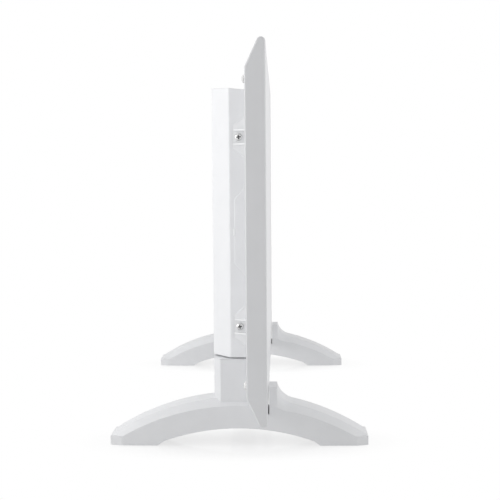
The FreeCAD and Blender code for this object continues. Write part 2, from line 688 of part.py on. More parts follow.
def housing_bracket(side, z):
    """Angle bracket with two gussets: a base on the back plate and a leg on the housing's end wall."""
    wall = side * HOUSING_HALF
    outer = wall + side * BRACKET_SHEET
    long_half, short_half = BRACKET_LONG_SIDE / 2, BRACKET_SHORT_SIDE / 2
    leg = prism("yz", [(PLATE_REAR, z - long_half), (BRACKET_REAR_Y, z - short_half),
                       (BRACKET_REAR_Y, z + short_half), (PLATE_REAR, z + long_half)],
                min(wall, outer), max(wall, outer))
    tip = wall + side * (BRACKET_SHEET + BRACKET_BASE)
    base = box(min(wall, tip), max(wall, tip), PLATE_REAR, PLATE_REAR + BRACKET_SHEET,
               z - long_half, z + long_half)
    pieces = [leg, base]
    reach = outer + side * GUSSET_REACH
    for place in spread(2, GUSSET_SPACING):
        low = z + place - GUSSET_THICKNESS / 2
        triangle = [(outer, PLATE_REAR), (reach, PLATE_REAR), (outer, BRACKET_REAR_Y)]
        pieces.append(prism("xy", triangle, low, low + GUSSET_THICKNESS))
    return fused(pieces)


def housing_brackets():
    """Two brackets at each end of the housing."""
    return group([housing_bracket(side, z) for side, z in bracket_screw_places()])


def housing_screws():
    """Screws between the gussets, as their seated heads on the brackets."""
    screw = screw_head(HOUSING_SCREW_HEAD_RADIUS, HOUSING_SCREW_HEAD_HEIGHT)
    screws = []
    for side, z in bracket_screw_places():
        place = FreeCAD.Vector(side * (HOUSING_HALF + BRACKET_SHEET), BRACKET_SCREW_Y, z)
        screws.append(aimed(screw, place, AXIS_X * side))
    return group(screws)


# Convection element and what carries it

def convection_element():
    """Extruded element of four ribbed arms round a hub, with a connecting pin at each end."""
    low, high = FIN_X - FIN_LENGTH / 2, FIN_X + FIN_LENGTH / 2
    pieces = [small_pin("yz", FIN_HUB_RADIUS, low, high),
              small_pin("yz", PIN_RADIUS, low - PIN_REACH, high + PIN_REACH)]
    for sign_y in (-1, 1):
        for sign_z in (-1, 1):
            arm = [box(low, high, 0, FIN_ARM_REACH, -FIN_ARM_THICKNESS / 2, FIN_ARM_THICKNESS / 2)]
            step = (FIN_ARM_REACH - FIN_HUB_RADIUS) / FIN_RIB_COUNT
            for i in range(FIN_RIB_COUNT):
                at = FIN_ARM_REACH - i * step
                arm.append(box(low, high, at - FIN_RIB_THICKNESS, at, -FIN_RIB_WIDTH / 2, FIN_RIB_WIDTH / 2))
            limb = fused(arm)
            angle = FIN_ARM_ANGLE if sign_y > 0 else math.pi - FIN_ARM_ANGLE
            limb.Placement = FreeCAD.Placement(ORIGIN, FreeCAD.Rotation(AXIS_X, math.degrees(sign_z * angle)))
            pieces.append(limb)
    element = fused(pieces)
    element.translate(FreeCAD.Vector(0, FIN_CENTRE_Y, FIN_CENTRE_Z))
    return element


def element_bracket(side):
    """Folded stand for one end of the element, with a base on the back plate and a lip for the shield."""
    web_x = FIN_X + side * FIN_BRACKET_X
    web_outer = web_x + side * FIN_BRACKET_SHEET
    flange = web_x + side * FIN_BRACKET_FLANGE
    low, high = FIN_CENTRE_Z - FIN_BRACKET_HEIGHT / 2, FIN_CENTRE_Z + FIN_BRACKET_HEIGHT / 2
    web = box(min(web_x, web_outer), max(web_x, web_outer), PLATE_REAR, SHIELD_FRONT, low, high)
    near, far = min(web_x, flange), max(web_x, flange)
    base = box(near, far, PLATE_REAR, PLATE_REAR + FIN_BRACKET_SHEET, low, high)
    lip = box(near, far, SHIELD_FRONT - FIN_BRACKET_SHEET, SHIELD_FRONT, low, high)
    hole = bush_block(BUSH_SIDE + 2 * SLIP_GAP, web_x - OVERRUN, web_x + OVERRUN)
    return fused([web, base, lip]).cut(hole)


def bush_block(width, start, end):
    """Square block on the element's axis between two places along X."""
    block = prism("yz", centred(width, width), start, end)
    block.translate(FreeCAD.Vector(0, FIN_CENTRE_Y, FIN_CENTRE_Z))
    return block


def ceramic_bushes():
    """Square ceramic blocks that insulate the element's pins from the brackets."""
    bushes = []
    for side in (-1, 1):
        web = FIN_X + side * FIN_BRACKET_X
        inner = web - side * (FIN_BRACKET_GAP - SEAT_GAP)
        outer = web + side * BUSH_LENGTH
        bore = small_pin("yz", PIN_RADIUS + RUNNING_GAP, web - FIN_LENGTH, web + FIN_LENGTH)
        bore.translate(FreeCAD.Vector(0, FIN_CENTRE_Y, FIN_CENTRE_Z))
        bushes.append(bush_block(BUSH_SIDE, min(inner, outer), max(inner, outer)).cut(bore))
    return group(bushes)


def heat_shield():
    """Flat sheet on the bracket lips, in front of the rear wall."""
    return box(SHIELD_LEFT, SHIELD_RIGHT, SHIELD_FRONT, SHIELD_REAR,
               FIN_CENTRE_Z - FIN_BRACKET_HEIGHT / 2 - SHIELD_BELOW, FIN_CENTRE_Z + SHIELD_ABOVE)


def thermal_cutout():
    """Disc cut-out on the shield above the element, with two tabs."""
    centre = FreeCAD.Vector(FIN_X, SHIELD_FRONT, FIN_CENTRE_Z + CUTOUT_ABOVE)
    face = centre - AXIS_Y * CUTOUT_DEPTH
    disc = small_pin("xz", CUTOUT_RADIUS, -CUTOUT_DEPTH, 0)
    disc.translate(centre)
    pieces = [disc]
    for x in spread(2, CUTOUT_TAB_SPACING):
        left = centre.x + x - CUTOUT_TAB_WIDTH / 2
        pieces.append(box(left, left + CUTOUT_TAB_WIDTH, face.y - CUTOUT_TAB_LENGTH, face.y,
                          centre.z - CUTOUT_TAB_SHEET / 2, centre.z + CUTOUT_TAB_SHEET / 2))
    return fused(pieces)


# Control space

def control_divider():
    """Sheet wall across the housing, with a flange on the back plate."""
    rear = HOUSING_INNER_REAR - SEAT_GAP
    low = HOUSING_BOTTOM + HOUSING_WALL + SEAT_GAP
    drop = (HOUSING_WALL + SEAT_GAP) / math.cos(HOUSING_SLOPE)
    wall = prism("yz", [(PLATE_REAR, low), (rear, low), (rear, housing_top(rear) - drop),
                        (PLATE_REAR, housing_top(PLATE_REAR) - drop)], DIVIDER_X, DIVIDER_X + DIVIDER_SHEET)
    flange = box(DIVIDER_X, DIVIDER_X + DIVIDER_FLANGE, PLATE_REAR, PLATE_REAR + DIVIDER_SHEET, low,
                 housing_top(PLATE_REAR) - drop)
    way = bush_block(LEAD_HOLE_SIDE, DIVIDER_X - OVERRUN, DIVIDER_X + OVERRUN)
    return wall.fuse(flange).removeSplitter().cut(way)


def terminal_block():
    """Moulded block on the back plate, with a slot for each pole."""
    low, high = TERMINAL_Z - TERMINAL_HEIGHT / 2, TERMINAL_Z + TERMINAL_HEIGHT / 2
    rear = PLATE_REAR + TERMINAL_DEPTH
    half = TERMINAL_LENGTH / 2
    block = box(TERMINAL_X - half, TERMINAL_X + half, PLATE_REAR, rear, low, high)
    slots = []
    for x in spread(TERMINAL_POLES, TERMINAL_LENGTH / TERMINAL_POLES):
        left = TERMINAL_X + x - TERMINAL_SLOT / 2
        slots.append(box(left, left + TERMINAL_SLOT, rear - TERMINAL_SLOT_DEPTH, rear + OVERRUN,
                         low - OVERRUN, high + OVERRUN))
    return block.cut(slots)


def tilt_switch():
    """Sealed tip-over switch on the back plate, with two fixing ears."""
    left, right = TILT_X - TILT_WIDTH / 2, TILT_X + TILT_WIDTH / 2
    low, high = TILT_Z - TILT_HEIGHT / 2, TILT_Z + TILT_HEIGHT / 2
    body = box(left, right, PLATE_REAR, PLATE_REAR + TILT_DEPTH, low, high)
    ears = box(left - TILT_EAR, right + TILT_EAR, PLATE_REAR, PLATE_REAR + TILT_EAR_SHEET,
               TILT_Z - TILT_EAR, TILT_Z + TILT_EAR)
    return body.fuse(ears).removeSplitter()


def cord_gland():
    """Threaded cable gland in the housing's bottom: flange below, thread through the wall, open bore."""
    base = FreeCAD.Vector(GLAND_X, GLAND_Y, HOUSING_BOTTOM)
    flange = prism("xy", regular(6, GLAND_NUT_RADIUS), -GLAND_FLANGE, 0)
    flange.translate(base)
    thread = rod(GLAND_BODY_RADIUS, base, base + AXIS_Z * (HOUSING_WALL + GLAND_THREAD))
    mouth = base - AXIS_Z * (GLAND_FLANGE + OVERRUN)
    bore = rod(GLAND_BORE_RADIUS, mouth, base + AXIS_Z * (HOUSING_WALL + GLAND_THREAD + OVERRUN))
    return flange.fuse(thread).removeSplitter().cut(bore)


def gland_nut():
    """Nut that holds the gland from inside the housing."""
    nut = hexagon_ring(GLAND_NUT_RADIUS, GLAND_BODY_RADIUS + SLIP_GAP, 0, GLAND_NUT)
    nut.translate(FreeCAD.Vector(GLAND_X, GLAND_Y, HOUSING_BOTTOM + HOUSING_WALL))
    return nut


# Controls, made in the control frame and set on the sloped top

def centred(length, width):
    """Corners of a rectangle about zero."""
    a, b = length / 2, width / 2
    return [(-a, -b), (a, -b), (a, b), (-a, b)]


def moved_by(corners, u):
    """Corners moved along u."""
    return [(a + u, b) for a, b in corners]


def control_bezel():
    """Moulded cover over the control cut-out, with windows for the switches, lens and thermostat."""
    plate = prism("xy", centred(BEZEL_LENGTH, BEZEL_WIDTH), 0, BEZEL_THICKNESS, [BEZEL_CORNER_RADIUS] * 4)
    plate = bevelled(plate, BEZEL_THICKNESS, BEZEL_EDGE)
    lens = FreeCAD.Vector(LENS_U, 0, 0)
    cuts = [rod(LENS_RADIUS + SLIP_GAP, lens - AXIS_Z * OVERRUN, lens + AXIS_Z * OVERRUN),
            rod(NECK_RADIUS + SLIP_GAP, knob_axis(-OVERRUN), knob_axis(OVERRUN))]
    window = centred(SWITCH_WIDTH + 2 * SLIP_GAP, SWITCH_LENGTH + 2 * SLIP_GAP)
    cuts += [prism("xy", moved_by(window, u), -OVERRUN, OVERRUN) for u in (POWER_U, HEAT_U)]
    return on_top(plate.cut(cuts))


def switch_body(u):
    """Snap-in switch body with a flange on the bezel and an open well for its rocker."""
    body = prism("xy", moved_by(centred(SWITCH_WIDTH, SWITCH_LENGTH), u), -SWITCH_DEPTH, BEZEL_THICKNESS)
    edge = 2 * SWITCH_FLANGE_EDGE
    flange = prism("xy", moved_by(centred(SWITCH_WIDTH + edge, SWITCH_LENGTH + edge), u), BEZEL_THICKNESS,
                   BEZEL_THICKNESS + SWITCH_FLANGE)
    well = prism("xy", moved_by(centred(SWITCH_WIDTH - 2 * SWITCH_WALL, SWITCH_LENGTH - 2 * SWITCH_WALL), u),
                 BEZEL_THICKNESS + SWITCH_FLANGE - SWITCH_CAVITY_DEPTH, BEZEL_THICKNESS + OVERRUN)
    holes = small_pin("yz", ROCKER_PIN_RADIUS + RUNNING_GAP, u - SWITCH_WIDTH, u + SWITCH_WIDTH)
    holes.translate(AXIS_Z * ROCKER_PIVOT_W)
    return on_top(body.fuse(flange).removeSplitter().cut([well, holes]))


def switch_rocker(u):
    """Rocker with a shallow valley and two pivot pins, tipped to its off side."""
    half, side = ROCKER_LENGTH / 2, ROCKER_WIDTH / 2
    tilt = math.radians(ROCKER_TILT_DEG)
    crest = ROCKER_VALLEY + half * math.tan(tilt)
    foot = half * ROCKER_FOOT_SHARE
    outline = [(-half, ROCKER_SKIRT), (-foot, -ROCKER_FOOT_DROP), (foot, -ROCKER_FOOT_DROP),
               (half, ROCKER_SKIRT), (half, crest), (0, ROCKER_VALLEY), (-half, crest)]
    paddle = prism("yz", outline, -side, side)
    pin_end = SWITCH_WIDTH / 2 - RUNNING_GAP
    rocker = paddle.fuse(small_pin("yz", ROCKER_PIN_RADIUS, -pin_end, pin_end)).removeSplitter()
    rocker.Placement = FreeCAD.Placement(FreeCAD.Vector(u, 0, ROCKER_PIVOT_W),
                                         FreeCAD.Rotation(AXIS_X, -ROCKER_TILT_DEG))
    return on_top(rocker)


def pilot_lens():
    """Round lens that snaps into the bezel from below."""
    base = FreeCAD.Vector(LENS_U, 0, 0)
    stem = rod(LENS_RADIUS, base - AXIS_Z * LENS_DEPTH, base + AXIS_Z * (BEZEL_THICKNESS + LENS_PROUD))
    flange = small_pin("xy", LENS_FLANGE_RADIUS, -LENS_FLANGE, 0)
    flange.translate(base)
    return on_top(stem.fuse(flange).removeSplitter())


def knob_axis(w):
    """A point on the thermostat's axis in the control frame."""
    return FreeCAD.Vector(KNOB_U, 0, w)


def thermostat_body():
    """Thermostat under the bezel, with a threaded neck through it and a bore for the shaft."""
    block = prism("xy", moved_by(centred(THERMOSTAT_WIDTH, THERMOSTAT_LENGTH), KNOB_U), -THERMOSTAT_DEPTH, 0)
    neck = rod(NECK_RADIUS, knob_axis(0), knob_axis(NECK_HEIGHT))
    bore = rod(SHAFT_RADIUS + RUNNING_GAP, knob_axis(-SHAFT_BELOW), knob_axis(NECK_HEIGHT + OVERRUN))
    return on_top(block.fuse(neck).removeSplitter().cut(bore))


def thermostat_nut():
    """Nut that clamps the bezel on the thermostat's neck."""
    top = BEZEL_THICKNESS + NUT_HEIGHT
    nut = hexagon_ring(NECK_RADIUS + NUT_EDGE, NECK_RADIUS + SLIP_GAP, BEZEL_THICKNESS, top)
    nut.translate(knob_axis(0))
    return on_top(nut)


def shaft_flat(gap):
    """Block beyond the shaft's flat, above the neck, with a gap."""
    return box(KNOB_U + SHAFT_RADIUS - SHAFT_FLAT_DEPTH + gap, KNOB_U + KNOB_RADIUS, -KNOB_RADIUS, KNOB_RADIUS,
               KNOB_HOLLOW_TOP, SHAFT_TOP + OVERRUN)


def thermostat_shaft():
    """Turning shaft with a flat for the knob."""
    return on_top(rod(SHAFT_RADIUS, knob_axis(-SHAFT_BELOW), knob_axis(SHAFT_TOP)).cut(shaft_flat(0)))


def toothed_corners():
    """Corners of the knob's toothed outline about the thermostat's axis."""
    count = 2 * KNOB_TEETH
    corners = []
    for i in range(count):
        reach = KNOB_RADIUS - TOOTH_DEPTH * (i % 2)
        angle = 2 * math.pi * i / count
        corners.append((KNOB_U + reach * math.cos(angle), reach * math.sin(angle)))
    return corners


def thermostat_knob():
    """Toothed knob with a hollow skirt, a bore with a flat and a pointer groove."""
    low = BEZEL_THICKNESS + KNOB_LIFT
    body = bevelled(prism("xy", toothed_corners(), low, KNOB_TOP), KNOB_TOP, KNOB_CROWN)
    hollow_radius = KNOB_RADIUS - TOOTH_DEPTH - KNOB_WALL
    bore = rod(SHAFT_RADIUS + RUNNING_GAP, knob_axis(KNOB_HOLLOW_TOP), knob_axis(SHAFT_TOP))
    cuts = [rod(hollow_radius, knob_axis(low - OVERRUN), knob_axis(KNOB_HOLLOW_TOP)),
            bore.cut(shaft_flat(RUNNING_GAP)),
            box(KNOB_U - POINTER_WIDTH / 2, KNOB_U + POINTER_WIDTH / 2, POINTER_INNER, KNOB_RADIUS,
                KNOB_TOP - POINTER_DEPTH, KNOB_TOP + OVERRUN)]
    return on_top(body.cut(cuts))


# Feet

def arm_height(y, apex, radius):
    """Height of an arc with its crest over the foot's middle."""
    return apex - radius + math.sqrt(radius ** 2 - y ** 2)


def arc_through(plane_x, start, middle, end):
    """Arc through three y, z points."""
    return Part.Arc(*[point("yz", y, z, plane_x) for y, z in (start, middle, end)]).toShape()


def chord_arc(plane_x, start, end, bulge):
    """Arc over a chord of y, z points, bulging to the left of its run by a height."""
    run_y, run_z = end[0] - start[0], end[1] - start[1]
    length = math.hypot(run_y, run_z)
    middle_y = (start[0] + end[0]) / 2 - run_z / length * bulge
    middle_z = (start[1] + end[1]) / 2 + run_y / length * bulge
    return arc_through(plane_x, start, (middle_y, middle_z), end)


def foot_outline(plane_x, rise, stand_top):
    """Side outline of a foot without its slot and post: a raised arc over the arch, with the front stand."""
    reach, pad_inner = FOOT_DEPTH / 2, ARCH_HALF_SPAN + ARCH_SPLAY
    places = (reach, reach / 2, STAND_REAR_Y, STAND_FRONT_Y, BLEND_Y, (BLEND_Y - reach) / 2)
    tip, crest, root, brow, blend, slope = [(y, arm_height(y, ARM_APEX, ARM_RADIUS) + rise) for y in places]
    stand_rear = (STAND_REAR_Y, max(stand_top, root[1] + STAND_SIDE_RISE))
    stand_front = (STAND_FRONT_Y, max(stand_top, brow[1] + STAND_SIDE_RISE))
    hollow = STAND_HOLLOW_SHARE * (stand_front[1] - blend[1])
    closing = [(ARCH_HALF_SPAN, ARCH_SPRING), (pad_inner, PAD_PROUD), (reach, PAD_PROUD), tip]
    corners = [(-y, z) for y, z in reversed(closing)]
    edges = [line_yz(plane_x, a, b) for a, b in zip(corners, corners[1:])]
    edges.append(arc_through(plane_x, corners[-1], (0, ARCH_APEX), closing[0]))
    edges += [line_yz(plane_x, a, b) for a, b in zip(closing, closing[1:])]
    edges.append(arc_through(plane_x, tip, crest, root))
    edges.append(line_yz(plane_x, root, stand_rear))
    edges.append(line_yz(plane_x, stand_rear, stand_front))
    edges.append(chord_arc(plane_x, stand_front, blend, hollow))
    edges.append(arc_through(plane_x, blend, slope, corners[0]))
    return Part.Wire(edges)


def line_yz(plane_x, a, b):
    """Straight edge between two y, z points."""
    return Part.LineSegment(point("yz", *a, plane_x), point("yz", *b, plane_x)).toShape()


def foot_moulding():
    """Lofted body of a foot about X = 0: straight sides, bevelled upper edges and level ends."""
    half, reach = FOOT_WIDTH / 2, FOOT_DEPTH / 2
    inner = half - FOOT_BEVEL
    pieces = [Part.Face(foot_outline(-inner, FOOT_BEVEL, STAND_TOP)).extrude(AXIS_X * (2 * inner))]
    for way in (-1, 1):
        high = foot_outline(way * inner, FOOT_BEVEL, STAND_TOP)
        low = foot_outline(way * half, 0, 0)
        pieces.append(Part.makeLoft([high, low], True, True))
        ends = sorted((way * reach, way * (reach - END_BLOCK_LENGTH)))
        pieces.append(box(-half, half, *ends, PAD_PROUD, PAD_PROUD + END_BLOCK_HEIGHT))
    return fused(pieces)


def foot_post():
    """Post behind the panel, with chamfered rear corners."""
    half = FOOT_WIDTH / 2 - POST_SETBACK
    inner, corner = half - POST_CHAMFER, POST_REAR - POST_CHAMFER
    plan = [(-half, STAND_REAR_Y), (half, STAND_REAR_Y), (half, corner), (inner, POST_REAR),
            (-inner, POST_REAR), (-half, corner)]
    return prism("xy", plan, POST_ROOT, POST_TOP)


def panel_slot():
    """Space that the panel's lower edge takes in a foot."""
    floor = PANEL_BOTTOM - SEAT_GAP
    front = PANEL_FRONT - STAND_GAP
    rear = PANEL_BACK + SEAT_GAP
    lean = math.tan(RIM_ANGLE)
    rim_front = PANEL_FRONT + SEAT_GAP / math.cos(RIM_ANGLE)
    floor_rear = rim_front + (floor - PANEL_BOTTOM + TIP_RISE) * lean
    wall_foot = PANEL_BOTTOM - TIP_RISE + (rear - rim_front) / lean
    corners = [(front, floor), (floor_rear, floor), (rear, wall_foot), (rear, POST_TOP + OVERRUN),
               (front, POST_TOP + OVERRUN)]
    return prism("yz", corners, -FOOT_WIDTH, FOOT_WIDTH)


def foot_cuts():
    """End facets, underside pockets, pad recesses and the screw's well."""
    half, reach = FOOT_WIDTH / 2, FOOT_DEPTH / 2
    start, beyond = reach - FOOT_FACET_Y, reach + OVERRUN
    bite = FOOT_FACET_X * (beyond - start) / FOOT_FACET_Y
    cuts = []
    for sx in (-1, 1):
        for sy in (-1, 1):
            facet = [(half, start), (half + OVERRUN, start), (half + OVERRUN, beyond), (half - bite, beyond)]
            cuts.append(prism("xy", [(sx * a, sy * b) for a, b in facet], -OVERRUN, STAND_TOP))
    side = half - FOOT_SIDE_WALL
    for step in spread(POCKET_COUNT, POCKET_PITCH):
        y, width = step - POCKET_FORWARD, (POCKET_PITCH - POCKET_RIB) / 2
        roof = arm_height(abs(y) + width, ARCH_APEX, ARCH_RADIUS) + POCKET_DEPTH
        cuts.append(box(-side, side, y - width, y + width, 0, roof))
    for pad in pad_outlines(SLIP_GAP):
        cuts.append(prism("xy", pad, 0, PAD_THICKNESS))
    web = PANEL_BACK + SEAT_GAP + FOOT_SCREW_WEB
    well = small_pin("xz", FOOT_SCREW_WELL_RADIUS, web, POST_REAR + OVERRUN)
    bore = small_pin("xz", FOOT_SCREW_RADIUS + SLIP_GAP, PANEL_BACK, web + OVERRUN)
    for hole in (well, bore):
        hole.translate(AXIS_Z * PLATE_SCREW_LOW)
        cuts.append(hole)
    return cuts


def pad_outlines(gap):
    """Plan corners of a foot's two rubber pads, grown by a gap."""
    centre = FOOT_DEPTH / 2 - PAD_END_MARGIN - PAD_LENGTH / 2
    a, b = PAD_WIDTH / 2 + gap, PAD_LENGTH / 2 + gap
    c, d = a - PAD_CORNER, b - PAD_CORNER
    shape = [(-c, -b), (c, -b), (a, -d), (a, d), (c, b), (-c, b), (-a, d), (-a, -d)]
    return [[(x, y + way * centre) for x, y in shape] for way in (-1, 1)]


def foot(x):
    """One foot at a place along X."""
    body = foot_moulding().fuse(foot_post()).cut([panel_slot()] + foot_cuts()).removeSplitter()
    body.translate(AXIS_X * x)
    return body


def foot_pads():
    """Rubber pads under both feet."""
    pads = []
    for x in foot_centres():
        for outline in pad_outlines(0):
            pad = prism("xy", outline, 0, PAD_THICKNESS)
            pad.translate(AXIS_X * x)
            pads.append(pad)
    return group(pads)


def foot_screws():
    """Screws from the rear of each post into the panel."""
    seat = PANEL_BACK + SEAT_GAP + FOOT_SCREW_WEB
    reach = seat - PLATE_FRONT + FOOT_NUT_HEIGHT
    shank = small_pin("xy", FOOT_SCREW_RADIUS, -reach, 0)
    screw = screw_head(FOOT_SCREW_HEAD_RADIUS, FOOT_SCREW_HEAD_HEIGHT).fuse(shank)
    return group([aimed(screw, FreeCAD.Vector(x, seat, PLATE_SCREW_LOW), AXIS_Y) for x in foot_centres()])


def foot_nuts():
    """Weld nuts inside the panel for the feet's screws."""
    nut = hexagon_ring(FOOT_NUT_RADIUS, FOOT_SCREW_RADIUS + RUNNING_GAP, 0, FOOT_NUT_HEIGHT)
    places = [FreeCAD.Vector(x, PLATE_FRONT, PLATE_SCREW_LOW) for x in foot_centres()]
    return group([aimed(nut, place, -AXIS_Y) for place in places])


# Every node of the part

def nodes():
    """Name and shape of each piece."""
    left, right = foot_centres()
    return {
        "front_panel": front_panel(),
        "end_cap_left": end_cap(-1),
        "end_cap_right": end_cap(1),
        "panel_back_plate": panel_back_plate(),
        "back_plate_screws": back_plate_screws(),
        "radiant_element": radiant_element(),
        "insulation_board": insulation_board(),
        "clamp_bars": clamp_bars(),
        "rear_housing": rear_housing(),
        "housing_brackets": housing_brackets(),
        "housing_screws": housing_screws(),
        "convection_element": convection_element(),
        "element_bracket_left": element_bracket(-1),
        "element_bracket_right": element_bracket(1),
        "ceramic_bushes": ceramic_bushes(),
        "heat_shield": heat_shield(),
        "thermal_cutout": thermal_cutout(),
        "control_divider": control_divider(),
        "terminal_block": terminal_block(),
        "tilt_switch": tilt_switch(),
        "cord_gland": cord_gland(),
        "gland_nut": gland_nut(),
        "control_bezel": control_bezel(),
        "power_switch_body": switch_body(POWER_U),
        "heat_switch_body": switch_body(HEAT_U),
        "power_rocker": switch_rocker(POWER_U),
        "heat_rocker": switch_rocker(HEAT_U),
        "pilot_lens": pilot_lens(),
        "thermostat_body": thermostat_body(),
        "thermostat_nut": thermostat_nut(),
        "thermostat_shaft": thermostat_shaft(),
        "thermostat_knob": thermostat_knob(),
        "foot_left": foot(left),
        "foot_right": foot(right),
        "foot_pads": foot_pads(),
        "foot_screws": foot_screws(),
        "foot_nuts": foot_nuts(),
    }


os.makedirs("parts", exist_ok=True)
for name, shape in nodes().items():
    shape.exportStep("parts/" + name + ".step")
    print(name, len(shape.Solids), shape.isValid(), round(shape.Volume))
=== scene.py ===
import json
import math

import bmesh
import bpy
from mathutils import Matrix, Vector
from mathutils.geometry import convex_hull_2d


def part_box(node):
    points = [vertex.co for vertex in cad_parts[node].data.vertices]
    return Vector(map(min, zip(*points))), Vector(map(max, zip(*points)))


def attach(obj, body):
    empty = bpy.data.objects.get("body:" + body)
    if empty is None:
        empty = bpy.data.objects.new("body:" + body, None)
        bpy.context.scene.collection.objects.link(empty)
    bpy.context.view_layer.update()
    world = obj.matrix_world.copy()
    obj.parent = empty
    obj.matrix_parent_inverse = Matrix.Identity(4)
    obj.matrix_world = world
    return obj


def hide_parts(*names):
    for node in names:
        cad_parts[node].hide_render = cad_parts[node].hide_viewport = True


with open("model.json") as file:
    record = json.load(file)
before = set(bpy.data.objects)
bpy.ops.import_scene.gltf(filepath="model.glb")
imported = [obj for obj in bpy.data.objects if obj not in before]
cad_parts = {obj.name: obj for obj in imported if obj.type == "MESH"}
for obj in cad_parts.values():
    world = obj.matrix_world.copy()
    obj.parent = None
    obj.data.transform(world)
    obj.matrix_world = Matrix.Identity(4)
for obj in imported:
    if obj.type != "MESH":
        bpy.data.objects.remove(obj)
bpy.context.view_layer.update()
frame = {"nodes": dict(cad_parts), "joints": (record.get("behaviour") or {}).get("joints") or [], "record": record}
nodes = frame["nodes"]

# Directions: along the panel, to the rear and up
ALONG = Vector((1, 0, 0))
REAR = Vector((0, 1, 0))
UP = Vector((0, 0, 1))

# Camera: looks along the panel from its left end, a little above the middle; angles are in radians
CAMERA_PLACE = (-1.21396, -0.04339, 0.28150)
CAMERA_YAW = 0.0309
CAMERA_PITCH = 0.0752
CAMERA_ROLL = -0.0071
CAMERA_CLIP = 0.01
FOCAL_PIXELS = 944.0
FRAME_PIXELS = 500.0
SENSOR_MM = 36.0

# Light: large soft lamps, and a world that is white to the camera and softer on the object
LAMPS = {
    "lamp_rear": {"place": (-0.50, 1.22, 0.55), "target": (-0.1, 0.0, 0.2), "size": 1.1, "power": 8.0},
    "lamp_front": {"place": (-0.42, -1.25, 0.6), "target": (-0.1, 0.0, 0.2), "size": 1.1, "power": 4.7},
    "lamp_top": {"place": (-0.2, 0.3, 2.2), "target": (0.0, 0.0, 0.2), "size": 1.8, "power": 4.6},
}
WORLD_LEVEL = 0.54
WHITE_LEVEL = 1.0
LIGHT_COLOUR = (1.0, 1.0, 1.0, 1.0)

# Floor: white to the camera away from the feet, with shadow and a faint reflection round each foot
FLOOR_HALF = 4.0
FLOOR_TONE = (0.93, 0.93, 0.93, 1.0)
FLOOR_ROUGHNESS = 0.05
SHADE_HALF_X = 0.055
SHADE_HALF_Y = 0.13
SHADE_FULL = 0.5
SHADE_GONE = 1.5
WHITE_SHARE_NEAR = 0.67
WHITE_SHARE_FAR = 1.0

# Surface noise: the range of its values in use, its levels of detail, and its scales along X, Y and Z
NOISE_LOW = 0.3
NOISE_HIGH = 0.7
MOTTLE_DETAIL = 4.0
GRAIN_DETAIL = 3.0
EVEN = (1.0, 1.0, 1.0)
DRAWN_IN_X = (0.02, 1.0, 1.0)
LAYERED_IN_Z = (1.0, 1.0, 0.2)

# Softened edges: rays that look for an edge nearby
EDGE_SAMPLES = 6

# Whites: darkest and lightest tone of each
PANEL_WHITE = ((0.782, 0.788, 0.804), (0.806, 0.812, 0.828))
HOUSING_WHITE = ((0.832, 0.838, 0.852), (0.856, 0.862, 0.876))
# A lighter copy of the housing white, painting highlight onto the brackets' thin edges and the tongue on each end
# wall
BRACKET_WHITE_PAINTED_HIGHLIGHT = ((0.880, 0.885, 0.895), (0.900, 0.905, 0.915))
CAP_WHITE = ((0.700, 0.706, 0.720), (0.722, 0.728, 0.742))
MOULDED_WHITE = ((0.786, 0.792, 0.806), (0.810, 0.816, 0.830))

